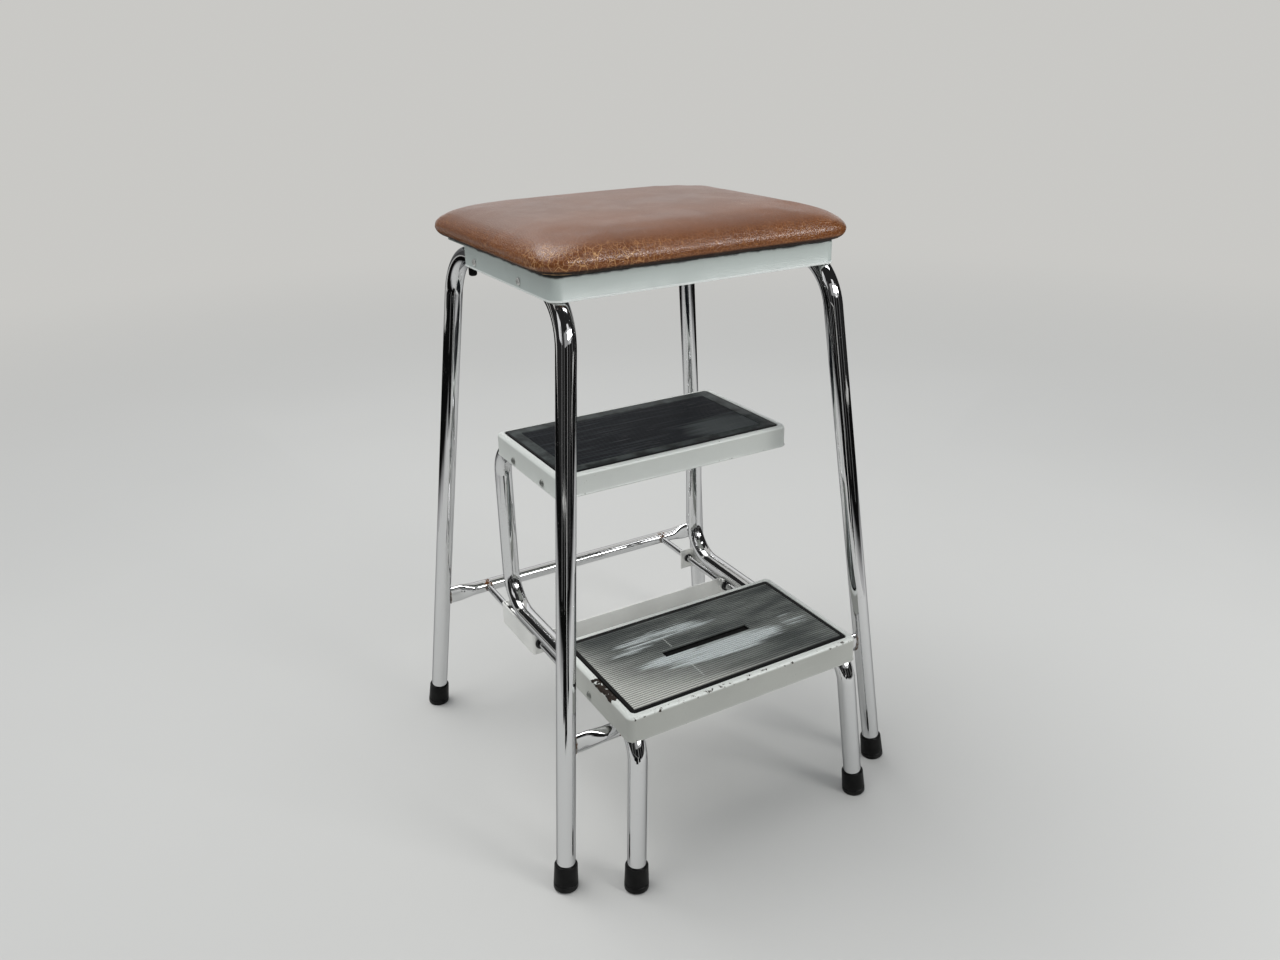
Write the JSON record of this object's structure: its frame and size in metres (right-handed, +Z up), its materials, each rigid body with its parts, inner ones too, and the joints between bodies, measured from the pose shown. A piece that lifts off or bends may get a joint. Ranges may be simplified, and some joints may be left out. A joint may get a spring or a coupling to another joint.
{
  "type": "step stool chair",
  "caption": "Padded tube-framed step stool whose two ribbed steps pull out to the front on guide rods.",
  "frame": {"origin": "middle of the bounding box, on the floor under the rubber tips", "axes": "+Z up, the steps pull out towards -Y, +X to the right of someone who faces the stool"},
  "size_m": [0.4454, 0.4546, 0.6582],
  "materials": {
    "chromed_tube": "bright chromed tube, lightly worn",
    "chromed_rod": "bright chromed rod",
    "seat_paint": "silver-grey satin paint",
    "step_enamel": "pale grey enamel, chipped",
    "bracket_steel": "dull plated sheet",
    "screw": "plated, dull",
    "leatherette": "grained brown leatherette, worn",
    "foam": "open foam",
    "plywood": "raw plywood",
    "rubber": "matt black",
    "worn_mat": "ribbed rubber, worn grey",
    "blue_mat": "ribbed rubber, blue-black",
    "plastic": "black moulded plastic"
  },
  "bodies": {
    "stool": {"seat_cover": "leatherette", "seat_foam": "foam", "seat_board": "plywood", "seat_pan": "seat_paint", "board_screw_1": "screw", "board_screw_2": "screw", "board_screw_3": "screw", "board_screw_4": "screw", "left_pan_front_screw": "screw", "left_pan_rear_screw": "screw", "left_leg_frame": "chromed_tube", "right_pan_front_screw": "screw", "right_pan_rear_screw": "screw", "right_leg_frame": "chromed_tube", "front_crossbar": "chromed_tube", "rear_crossbar": "chromed_tube", "left_guide_rod": "chromed_rod", "right_guide_rod": "chromed_rod", "front_left_leg_tip": "rubber", "front_right_leg_tip": "rubber", "rear_left_leg_tip": "rubber", "rear_right_leg_tip": "rubber", "left_frame_buffer": "rubber", "right_frame_buffer": "rubber"},
    "step_unit": {"left_step_tube": "chromed_tube", "left_step_tip": "rubber", "left_tube_plug": "plastic", "right_step_tube": "chromed_tube", "right_step_tip": "rubber", "right_tube_plug": "plastic", "lower_step_pan": "step_enamel", "lower_step_mat": "worn_mat", "left_lower_front_screw": "screw", "left_lower_rear_screw": "screw", "right_lower_front_screw": "screw", "right_lower_rear_screw": "screw", "middle_step_pan": "step_enamel", "middle_step_mat": "blue_mat", "left_middle_front_screw": "screw", "left_middle_rear_screw": "screw", "right_middle_front_screw": "screw", "right_middle_rear_screw": "screw", "slide_bracket": "bracket_steel", "left_web_bushing": "plastic", "left_tab_bushing": "plastic", "right_web_bushing": "plastic", "right_tab_bushing": "plastic"}
  },
  "joints": [
    {"name": "step_slide", "type": "slide", "parent": "stool", "child": "step_unit", "axis": [0, -1, 0], "range_m": [-0.012, 0.18]}
  ]
}
